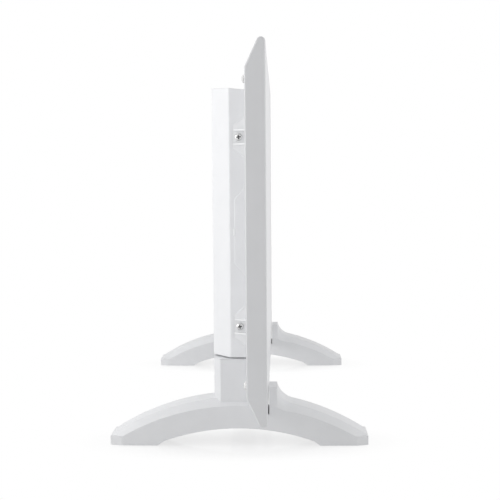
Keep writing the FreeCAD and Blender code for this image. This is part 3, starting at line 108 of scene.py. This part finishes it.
# Finishes by material slot, then those of single pieces; make_material says what each value means
FINISHES = {
    "panel_coat": dict(tones=PANEL_WHITE, rough=(0.34, 0.42),
                       mottle=40.0, grain=900.0, bump=0.00003, edge=0.0010),
    "housing_coat": dict(tones=HOUSING_WHITE, rough=(0.36, 0.44),
                         mottle=45.0, grain=900.0, bump=0.00003, edge=0.0008),
    "foot_plastic": dict(tones=MOULDED_WHITE, rough=(0.40, 0.50),
                         mottle=60.0, grain=1800.0, bump=0.00002, edge=0.0008),
    "zinc": dict(tones=((0.62, 0.62, 0.62), (0.72, 0.72, 0.715)), rough=(0.32, 0.44),
                 mottle=500.0, grain=2500.0, bump=0.00001, edge=0.0003, Metallic=1.0),
    "fin_metal": dict(tones=((0.60, 0.61, 0.62), (0.72, 0.73, 0.74)), rough=(0.25, 0.40), stretch=DRAWN_IN_X,
                      mottle=900.0, grain=1600.0, bump=0.00001, edge=0.0003, Metallic=1.0),
    "mica": dict(tones=((0.36, 0.29, 0.18), (0.52, 0.44, 0.30)), rough=(0.35, 0.65),
                 mottle=160.0, grain=600.0, bump=0.00008),
    "fibre": dict(tones=((0.70, 0.67, 0.60), (0.80, 0.78, 0.72)), rough=(0.85, 0.95), stretch=LAYERED_IN_Z,
                  mottle=220.0, grain=900.0, bump=0.0002),
    "ceramic": dict(tones=((0.78, 0.75, 0.68), (0.84, 0.81, 0.75)), rough=(0.12, 0.2),
                    mottle=200.0, grain=700.0, bump=0.00002, edge=0.0004),
    "dark_plastic": dict(tones=((0.022, 0.022, 0.022), (0.032, 0.032, 0.032)), rough=(0.42, 0.55),
                         mottle=120.0, grain=2200.0, bump=0.00002, edge=0.0004),
    "grey_plastic": dict(tones=((0.46, 0.46, 0.46), (0.50, 0.50, 0.50)), rough=(0.42, 0.52),
                         mottle=120.0, grain=2200.0, bump=0.00002, edge=0.0004),
    "rocker_plastic": dict(tones=((0.018, 0.018, 0.018), (0.026, 0.026, 0.026)), rough=(0.18, 0.28),
                           mottle=150.0, grain=1500.0, bump=0.00001, edge=0.0004),
    "knob_plastic": dict(tones=MOULDED_WHITE, rough=(0.38, 0.48),
                         mottle=150.0, grain=2000.0, bump=0.00002, edge=0.0004),
    "lens": dict(tones=((0.80, 0.26, 0.04), (0.86, 0.32, 0.06)), rough=(0.06, 0.12),
                 mottle=300.0, grain=900.0, bump=0.00001, edge=0.0002, Transmission_Weight=0.6, IOR=1.49),
    "pad_rubber": dict(tones=((0.030, 0.030, 0.030), (0.050, 0.050, 0.050)), rough=(0.75, 0.9),
                       mottle=200.0, grain=1500.0, bump=0.00006),
    "end_cap": dict(tones=CAP_WHITE, rough=(0.40, 0.48),
                    mottle=40.0, grain=700.0, bump=0.00004, edge=0.0010),
    # recess: near-black finish on the screws' cross recesses, painted shade standing in for the shadow in their
    # depth
    "recess": dict(tones=((0.09, 0.09, 0.095), (0.15, 0.15, 0.155)), rough=(0.5, 0.7),
                   mottle=700.0, grain=2500.0, bump=0.00001),
    "dull_zinc": dict(tones=((0.75, 0.75, 0.75), (0.83, 0.83, 0.825)), rough=(0.84, 0.92),
                      mottle=500.0, grain=2500.0, bump=0.00001, edge=0.0003, Metallic=1.0),
    # bracket: the lighter white, a painted highlight on thin edges
    "bracket": dict(tones=BRACKET_WHITE_PAINTED_HIGHLIGHT, rough=(0.34, 0.42),
                    mottle=90.0, grain=900.0, bump=0.00002, edge=0.0004),
}
# The housing's brackets take the lighter bracket white, a painted highlight on their edges
FINISH_OF_NODE = {"end_cap_left": "end_cap", "end_cap_right": "end_cap", "housing_brackets": "bracket"}

# Dial marks on the bezel round the knob
MARK_COUNT = 11
MARK_INNER = 0.0117
MARK_OUTER = 0.0130
MARK_WIDTH = 0.0006
MARK_HEIGHT = 0.00012
MARK_SINK = 0.00005

# Inlay in the knob's pointer groove
GROOVE_DEPTH = 0.0006
INLAY_INNER = 0.0037
INLAY_OUTER = 0.0095
INLAY_WIDTH = 0.0012
INLAY_RISE = 0.0005
INLAY_RIM = 0.0001

# Sheet tabs on each end wall of the housing, under and between the brackets: corners as Y and Z
MIDDLE_TAB_CORNERS = ((-0.0112, 0.1773), (0.0030, 0.1929), (0.0030, 0.2607), (-0.0112, 0.2770))
LOW_TAB_CORNERS = ((-0.0112, 0.1021), (0.0036, 0.1158), (0.0036, 0.1391), (-0.0112, 0.1532))
HIGH_TAB_CORNERS = ((-0.0112, 0.2999), (0.0036, 0.3138), (0.0036, 0.3369), (-0.0112, 0.3501))
TAB_RISE = 0.0008
TAB_RIM = 0.0006
TONGUE_CORNERS = ((0.0019, 0.2229), (0.0041, 0.2229), (0.0041, 0.2297), (0.0019, 0.2297))
TONGUE_RISE = 0.0010
TONGUE_RIM = 0.0008
PLATE_SINK = 0.00005

# Pad on the top of each foot's post: its sizes, and the slack and rounding that pick the top's corners
PAD_RISE = 0.0012
PAD_RIM = 0.0003
TOP_SLACK = 0.00001
PLACE_DIGITS = 6

# Screw heads: domes with a cross recess, in shares of the head's radius and height
SCREW_APART = 0.06
HEAD_SIDES = 72
HEAD_RINGS = 24
HEAD_RIM_SHARE = 0.42
DOME_POWER = 3
CROSS_REACH_SHARE = 0.62
CROSS_HALF_SHARE = 0.17
CROSS_DEPTH_SHARE = 0.62
CROSS_SLOPE_SHARE = 0.5
CROSS_WALL_SHARE = 0.05
CROSS_TURN = math.radians(6.0)
FOOT_HEAD_HEIGHT = 0.0034

# Screw shanks: a thread from a tapered tip to a little way inside the head
SHANK_IN_HEAD_SHARE = 0.25
SHANK_RADIUS = 0.0025
THREAD_PITCH = 0.0008
THREAD_DEPTH = 0.0004
THREAD_SIDES = 24
THREAD_STEPS = 8
TIP_SHARE = 0.5
TIP_TURNS = 2


def make_camera():
    """Camera at the photograph's viewing angle."""
    flat = math.cos(CAMERA_PITCH)
    forward = Vector((flat * math.cos(CAMERA_YAW), flat * math.sin(CAMERA_YAW), -math.sin(CAMERA_PITCH)))
    level = forward.cross(UP).normalized()
    upright = level.cross(forward)
    right = level * math.cos(CAMERA_ROLL) + upright * math.sin(CAMERA_ROLL)
    up = upright * math.cos(CAMERA_ROLL) - level * math.sin(CAMERA_ROLL)
    data = bpy.data.cameras.new("camera")
    data.sensor_width = SENSOR_MM
    data.lens = FOCAL_PIXELS * SENSOR_MM / FRAME_PIXELS
    data.clip_start = CAMERA_CLIP
    camera = bpy.data.objects.new("camera", data)
    turn = Matrix((right, up, -forward)).transposed().to_4x4()
    camera.matrix_world = Matrix.Translation(CAMERA_PLACE) @ turn
    bpy.context.scene.collection.objects.link(camera)
    bpy.context.scene.camera = camera


def make_lamp(name, place, target, size, power):
    """Large soft area lamp aimed at a point."""
    data = bpy.data.lights.new(name, "AREA")
    data.shape = "DISK"
    data.size = size
    data.energy = power
    lamp = bpy.data.objects.new(name, data)
    lamp.location = place
    lamp.visible_camera = False
    lamp.rotation_euler = (Vector(target) - Vector(place)).to_track_quat("-Z", "Y").to_euler()
    bpy.context.scene.collection.objects.link(lamp)


def calculate(tree, operation, first, second=0.0):
    """Output of one calculation; each operand is an output to link or a plain number."""
    step = tree.nodes.new("ShaderNodeMath")
    step.operation = operation
    for socket, operand in zip(step.inputs, (first, second)):
        if isinstance(operand, bpy.types.NodeSocket):
            tree.links.new(operand, socket)
        else:
            socket.default_value = operand
    return step.outputs[0]


def mix_surface(tree, share, first, second, target):
    """First shader turning into the second by a share, as the surface of the tree's output node."""
    mix = tree.nodes.new("ShaderNodeMixShader")
    tree.links.new(share, mix.inputs["Fac"])
    tree.links.new(first.outputs[0], mix.inputs[1])
    tree.links.new(second.outputs[0], mix.inputs[2])
    tree.links.new(mix.outputs[0], target.inputs["Surface"])


def light_node(tree, kind, level):
    """White light node of a kind, at a level."""
    light = tree.nodes.new(kind)
    light.inputs["Color"].default_value = LIGHT_COLOUR
    light.inputs["Strength"].default_value = level
    return light


def seen_ray(tree):
    """Output that is 1 for camera, glossy and transmission rays."""
    path = tree.nodes.new("ShaderNodeLightPath")
    seen = calculate(tree, "MAXIMUM", path.outputs["Is Camera Ray"], path.outputs["Is Glossy Ray"])
    return calculate(tree, "MAXIMUM", seen, path.outputs["Is Transmission Ray"])


def make_world():
    """White surroundings for the camera and reflections, softer light on the object."""
    world = bpy.data.worlds.new("studio")
    bpy.context.scene.world = world
    world.use_nodes = True
    tree = world.node_tree
    tree.nodes.clear()
    soft = light_node(tree, "ShaderNodeBackground", WORLD_LEVEL)
    white = light_node(tree, "ShaderNodeBackground", WHITE_LEVEL)
    mix_surface(tree, seen_ray(tree), soft, white, tree.nodes.new("ShaderNodeOutputWorld"))


def away_from_feet(tree):
    """Distance from the nearer foot's middle, as a share of its shade's reach in X and Y."""
    low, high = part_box("foot_right")
    place = tree.nodes.new("ShaderNodeTexCoord")
    parts = tree.nodes.new("ShaderNodeSeparateXYZ")
    joined = tree.nodes.new("ShaderNodeCombineXYZ")
    length = tree.nodes.new("ShaderNodeVectorMath")
    length.operation = "LENGTH"
    tree.links.new(place.outputs["Object"], parts.inputs[0])
    from_origin = calculate(tree, "ABSOLUTE", parts.outputs["X"])
    from_foot = calculate(tree, "SUBTRACT", from_origin, (low.x + high.x) / 2)
    tree.links.new(calculate(tree, "DIVIDE", from_foot, SHADE_HALF_X), joined.inputs["X"])
    tree.links.new(calculate(tree, "DIVIDE", parts.outputs["Y"], SHADE_HALF_Y), joined.inputs["Y"])
    tree.links.new(joined.outputs[0], length.inputs[0])
    return length.outputs["Value"]


def make_floor():
    """Pale floor that keeps the object's shadow."""
    mesh = bpy.data.meshes.new("floor")
    corners = [(x * FLOOR_HALF, y * FLOOR_HALF, 0) for x, y in ((-1, -1), (1, -1), (1, 1), (-1, 1))]
    mesh.from_pydata(corners, [], [range(len(corners))])
    floor = bpy.data.objects.new("floor", mesh)
    bpy.context.scene.collection.objects.link(floor)
    mat = bpy.data.materials.new("floor")
    mat.use_nodes = True
    tree = mat.node_tree
    surface = tree.nodes["Principled BSDF"]
    surface.inputs["Base Color"].default_value = FLOOR_TONE
    surface.inputs["Roughness"].default_value = FLOOR_ROUGHNESS
    glow = light_node(tree, "ShaderNodeEmission", WHITE_LEVEL)
    fade = tree.nodes.new("ShaderNodeMapRange")
    fade.interpolation_type = "SMOOTHSTEP"
    fade.inputs["From Min"].default_value = SHADE_FULL
    fade.inputs["From Max"].default_value = SHADE_GONE
    fade.inputs["To Min"].default_value = WHITE_SHARE_NEAR
    fade.inputs["To Max"].default_value = WHITE_SHARE_FAR
    tree.links.new(away_from_feet(tree), fade.inputs["Value"])
    share = calculate(tree, "MULTIPLY", seen_ray(tree), fade.outputs["Result"])
    mix_surface(tree, share, surface, glow, tree.nodes["Material Output"])
    mesh.materials.append(mat)


def noise(tree, scale, detail, stretch):
    """Noise in the part's own frame, stretched along its axes."""
    place = tree.nodes.new("ShaderNodeTexCoord")
    mapping = tree.nodes.new("ShaderNodeMapping")
    mapping.inputs["Scale"].default_value = stretch
    texture = tree.nodes.new("ShaderNodeTexNoise")
    texture.inputs["Scale"].default_value = scale
    texture.inputs["Detail"].default_value = detail
    tree.links.new(place.outputs["Object"], mapping.inputs["Vector"])
    tree.links.new(mapping.outputs[0], texture.inputs["Vector"])
    return texture.outputs["Fac"]


def spread_colours(tree, factor, low, high):
    """Colour between two tones, by a factor."""
    ramp = tree.nodes.new("ShaderNodeValToRGB")
    first, last = ramp.color_ramp.elements
    first.position = NOISE_LOW
    first.color = (*low, 1.0)
    last.position = NOISE_HIGH
    last.color = (*high, 1.0)
    tree.links.new(factor, ramp.inputs["Fac"])
    return ramp.outputs["Color"]


def spread_values(tree, factor, low, high):
    """Number between two values, by a factor."""
    span = tree.nodes.new("ShaderNodeMapRange")
    span.inputs["From Min"].default_value = NOISE_LOW
    span.inputs["From Max"].default_value = NOISE_HIGH
    span.inputs["To Min"].default_value = low
    span.inputs["To Max"].default_value = high
    tree.links.new(factor, span.inputs["Value"])
    return span.outputs["Result"]


def make_material(name, tones, rough, mottle, grain, bump, edge=0.0, stretch=EVEN, **fixed):
    """Surface that mottles between two tones and two roughnesses, with a fine grain in relief.
    mottle and grain are noise scales per metre, bump is the relief's depth and edge the radius of softened
    edges, in metres, and fixed holds values of the shader's own sockets."""
    mat = bpy.data.materials.new(name)
    mat.use_nodes = True
    tree = mat.node_tree
    surface = tree.nodes["Principled BSDF"]
    for socket, value in fixed.items():
        surface.inputs[socket.replace("_", " ")].default_value = value
    patches = noise(tree, mottle, MOTTLE_DETAIL, stretch)
    tree.links.new(spread_colours(tree, patches, *tones), surface.inputs["Base Color"])
    tree.links.new(spread_values(tree, patches, *rough), surface.inputs["Roughness"])
    relief = tree.nodes.new("ShaderNodeBump")
    relief.inputs["Strength"].default_value = 1.0
    relief.inputs["Distance"].default_value = bump
    tree.links.new(noise(tree, grain, GRAIN_DETAIL, stretch), relief.inputs["Height"])
    if edge:
        soft = tree.nodes.new("ShaderNodeBevel")
        soft.samples = EDGE_SAMPLES
        soft.inputs["Radius"].default_value = edge
        tree.links.new(soft.outputs["Normal"], relief.inputs["Normal"])
    tree.links.new(relief.outputs["Normal"], surface.inputs["Normal"])
    return mat


def dress_nodes():
    """Finish of each carried-over node: its own, or that of its material slot."""
    slot_of_node = {part["node"]: part["material_slot"] for part in frame["record"]["subparts"]}
    for name, node in nodes.items():
        node.data.materials.clear()
        node.data.materials.append(MATERIALS[FINISH_OF_NODE.get(name, slot_of_node[name])])


def add_piece(name, form, finishes, body="heater"):
    """Piece from a mesh form, with named finishes, riding on a body."""
    bmesh.ops.recalc_face_normals(form, faces=form.faces)
    mesh = bpy.data.meshes.new(name)
    form.to_mesh(mesh)
    form.free()
    for finish in finishes:
        mesh.materials.append(MATERIALS[finish])
    piece = bpy.data.objects.new(name, mesh)
    bpy.context.scene.collection.objects.link(piece)
    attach(piece, body)
    return piece


def add_rings(form, rings):
    """Skin over closed rings of points; returns its faces row by row, then the first and last ring's caps."""
    made = [[form.verts.new(p) for p in ring] for ring in rings]
    sides = len(made[0])
    faces = []
    for low, high in zip(made, made[1:]):
        for j in range(sides):
            k = (j + 1) % sides
            faces.append(form.faces.new((low[j], low[k], high[k], high[j])))
    return faces + [form.faces.new(made[0][::-1]), form.faces.new(made[-1])]


def inset(corners, out, rim):
    """Corners of a convex outline moved inwards by rim, in the plane across out."""
    middle = sum(corners, Vector()) / len(corners)
    moved = []
    for i, corner in enumerate(corners):
        ways = []
        for other in (corners[i - 1], corners[(i + 1) % len(corners)]):
            way = (other - corner).cross(out).normalized()
            ways.append(way if way.dot(middle - corner) > 0 else -way)
        moved.append(corner + (ways[0] + ways[1]) * (rim / (1 + ways[0].dot(ways[1]))))
    return moved


def add_plate(form, corners, out, rise, rim, finish=0):
    """Plate on an outline, standing out from it, with a chamfered rim, in one of the piece's finishes."""
    rings = [[p - out * PLATE_SINK for p in corners],
             [p + out * (rise - rim / 2) for p in corners],
             [p + out * rise for p in inset(corners, out, rim)]]
    for face in add_rings(form, rings):
        face.material_index = finish


def knob_axes():
    """The knob's joint, its axis and the direction to the rear across that axis."""
    joint = [j for j in frame["joints"] if j["child"] == "knob"][0]
    axis = Vector(joint["axis"]).normalized()
    return joint, axis, axis.cross(ALONG)


def level_on_axis(node):
    """Point of the knob's axis at the level of a node's top."""
    joint, axis, _ = knob_axes()
    place = Vector(joint["pos_m"])
    return place + axis * max((v.co - place).dot(axis) for v in nodes[node].data.vertices)


def bar_corners(centre, out, side, inner, outer, width):
    """Corners of a flat bar that points outwards from a centre."""
    half = width / 2
    return [centre + out * reach + side * across
            for reach, across in ((inner, -half), (outer, -half), (outer, half), (inner, half))]


def make_dial_marks():
    """Thin raised marks on the bezel round the knob, over its turning range."""
    joint, axis, rear = knob_axes()
    low, high = [math.radians(a) for a in joint["range_deg"]]
    centre = level_on_axis("control_bezel") - axis * MARK_SINK
    form = bmesh.new()
    for i in range(MARK_COUNT):
        angle = low + (high - low) * i / (MARK_COUNT - 1)
        out = rear * math.cos(angle) - ALONG * math.sin(angle)
        corners = bar_corners(centre, out, axis.cross(out), MARK_INNER, MARK_OUTER, MARK_WIDTH)
        add_rings(form, [corners, [p + axis * (MARK_SINK + MARK_HEIGHT) for p in corners]])
    add_piece("dial_marks", form, ["dark_plastic"])


def make_pointer_inlay():
    """Dark inlay in the groove on the knob's top."""
    _, axis, rear = knob_axes()
    floor = level_on_axis("thermostat_knob") - axis * GROOVE_DEPTH
    form = bmesh.new()
    corners = bar_corners(floor, rear, ALONG, INLAY_INNER, INLAY_OUTER, INLAY_WIDTH)
    add_plate(form, corners, axis, INLAY_RISE, INLAY_RIM)
    add_piece("pointer_inlay", form, ["dark_plastic"], "knob")


def off_the_end(place):
    """Direction out of the end of the heater that a place is nearer to."""
    return ALONG * math.copysign(1, place.x)


def off_the_rear(_):
    """Direction out of the heater's rear, the same for every place."""
    return REAR


def make_side_tabs():
    """Thin sheet tabs and a small tongue on each end wall of the housing."""
    form = bmesh.new()
    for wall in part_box("rear_housing"):
        out = off_the_end(wall)
        for outline in (MIDDLE_TAB_CORNERS, LOW_TAB_CORNERS, HIGH_TAB_CORNERS):
            add_plate(form, [Vector((wall.x, y, z)) for y, z in outline], out, TAB_RISE, TAB_RIM)
        # The tongue takes the lighter bracket white, a painted highlight on it
        add_plate(form, [Vector((wall.x, y, z)) for y, z in TONGUE_CORNERS], out, TONGUE_RISE, TONGUE_RIM, 1)
    add_piece("housing_side_tabs", form, ["housing_coat", "bracket"])


def make_post_pads():
    """Thin pad on the top of each foot's post, over the post's own outline."""
    form = bmesh.new()
    for node in ("foot_left", "foot_right"):
        points = [v.co for v in nodes[node].data.vertices]
        top = max(p.z for p in points)
        on_top = [p for p in points if top - p.z < TOP_SLACK]
        flat = sorted({(round(p.x, PLACE_DIGITS), round(p.y, PLACE_DIGITS)) for p in on_top})
        corners = [Vector((*flat[i], top)) for i in convex_hull_2d(flat)]
        add_plate(form, corners, UP, PAD_RISE, PAD_RIM)
    add_piece("post_pads", form, ["foot_plastic"])


def screw_boxes(node):
    """Lowest and highest corner of each screw in a node; screws stand further apart than SCREW_APART."""
    groups = []
    for vertex in nodes[node].data.vertices:
        home = [g for g in groups if (g[0] - vertex.co).length < SCREW_APART]
        if home:
            home[0].append(vertex.co)
        else:
            groups.append([vertex.co])
    return [(Vector(map(min, zip(*g))), Vector(map(max, zip(*g)))) for g in groups]


def within(reach, at):
    """1 inside a reach to both sides, 0 outside it, with a steep slope between."""
    return min(1.0, max(0.0, (reach - abs(at)) / CROSS_WALL_SHARE))


def cross_mask(u, v):
    """1 in a cross-shaped recess, 0 outside it, with steep walls; u and v are shares of the head's radius."""
    arm = within(CROSS_HALF_SHARE, u) * within(CROSS_REACH_SHARE, v)
    return max(arm, within(CROSS_HALF_SHARE, v) * within(CROSS_REACH_SHARE, u))


def add_screw_head(form, seat, axis, radius, height):
    """Domed head on its seat, with a cross recess whose faces take the second finish, a near-black one that paints
    the recess's shade.
    """
    across = UP.cross(axis)
    cross_cos, cross_sin = math.cos(CROSS_TURN), math.sin(CROSS_TURN)
    turns = [2 * math.pi * j / HEAD_SIDES for j in range(HEAD_SIDES)]
    # The rim on the seat, then rings over the dome from its rim inwards
    steps = [(1.0, 0.0)] + [(i / HEAD_RINGS, 1.0) for i in range(HEAD_RINGS, 0, -1)]
    rings, masks = [], []
    for share, lifted in steps:
        ring, mask_ring = [], []
        dome = 1.0 - (1.0 - HEAD_RIM_SHARE) * share ** DOME_POWER
        for turn in turns:
            u, v = share * math.cos(turn), share * math.sin(turn)
            mask = cross_mask(u * cross_cos + v * cross_sin, v * cross_cos - u * cross_sin) * lifted
            level = lifted * height * (dome - CROSS_DEPTH_SHARE * mask * (1.0 - CROSS_SLOPE_SHARE * share))
            ring.append(seat + across * (u * radius) + UP * (v * radius) + axis * level)
            mask_ring.append(mask)
        rings.append(ring)
        masks.append(mask_ring)
    *faces, _, bottom = add_rings(form, rings)
    bottom.material_index = 1
    for n, face in enumerate(faces):
        row, j = divmod(n, HEAD_SIDES)
        k = (j + 1) % HEAD_SIDES
        face.material_index = int(min(masks[row][j], masks[row][k], masks[row + 1][j], masks[row + 1][k]) > 0)


def add_thread(form, start, end, radius):
    """Threaded shank with a tapered tip at its start."""
    axis = (end - start).normalized()
    across = UP.cross(axis)
    length = (end - start).length
    count = int(length / THREAD_PITCH * THREAD_STEPS)
    rings = []
    for i in range(count + 1):
        along = length * i / count
        tip = min(1.0, TIP_SHARE + (1.0 - TIP_SHARE) * along / (TIP_TURNS * THREAD_PITCH))
        ring = []
        for j in range(THREAD_SIDES):
            phase = (along / THREAD_PITCH - j / THREAD_SIDES) % 1.0
            reach = (radius - THREAD_DEPTH * abs(2 * phase - 1)) * tip
            turn = 2 * math.pi * j / THREAD_SIDES
            ring.append(start + axis * along + (across * math.cos(turn) + UP * math.sin(turn)) * reach)
        rings.append(ring)
    add_rings(form, rings)


def make_screws(name, node, metal, way, head_height=None):
    """Cross-head screws in place of a node of plain ones; way gives each one's outward direction.
    With a head height they have a threaded shank, and without one they are heads alone."""
    form = bmesh.new()
    for low, high in screw_boxes(node):
        size = high - low
        middle = (low + high) / 2
        axis = way(middle)
        radius = max(span for span, part in zip(size, axis) if not part) / 2
        length = abs(size.dot(axis))
        height = head_height or length
        seat = middle + axis * (length / 2) - axis * height
        add_screw_head(form, seat, axis, radius, height)
        if head_height:
            tip = middle - axis * (length / 2)
            add_thread(form, tip, seat + axis * (height * SHANK_IN_HEAD_SHARE), SHANK_RADIUS)
    # The second finish paints shade into the cross recesses of the heads
    screws = add_piece(name, form, [metal, "recess"])
    for face in screws.data.polygons:
        face.use_smooth = True
    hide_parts(node)


MATERIALS = {name: make_material(name, **look) for name, look in FINISHES.items()}
dress_nodes()
make_dial_marks()
make_pointer_inlay()
make_side_tabs()
make_post_pads()
make_screws("housing_cross_screws", "housing_screws", "zinc", off_the_end)
make_screws("back_plate_cross_screws", "back_plate_screws", "dull_zinc", off_the_rear)
make_screws("foot_cross_screws", "foot_screws", "zinc", off_the_rear, FOOT_HEAD_HEIGHT)
make_floor()
make_camera()
make_world()
for lamp_name, lamp_values in LAMPS.items():
    make_lamp(lamp_name, **lamp_values)
bpy.context.scene.view_settings.view_transform = "Standard"
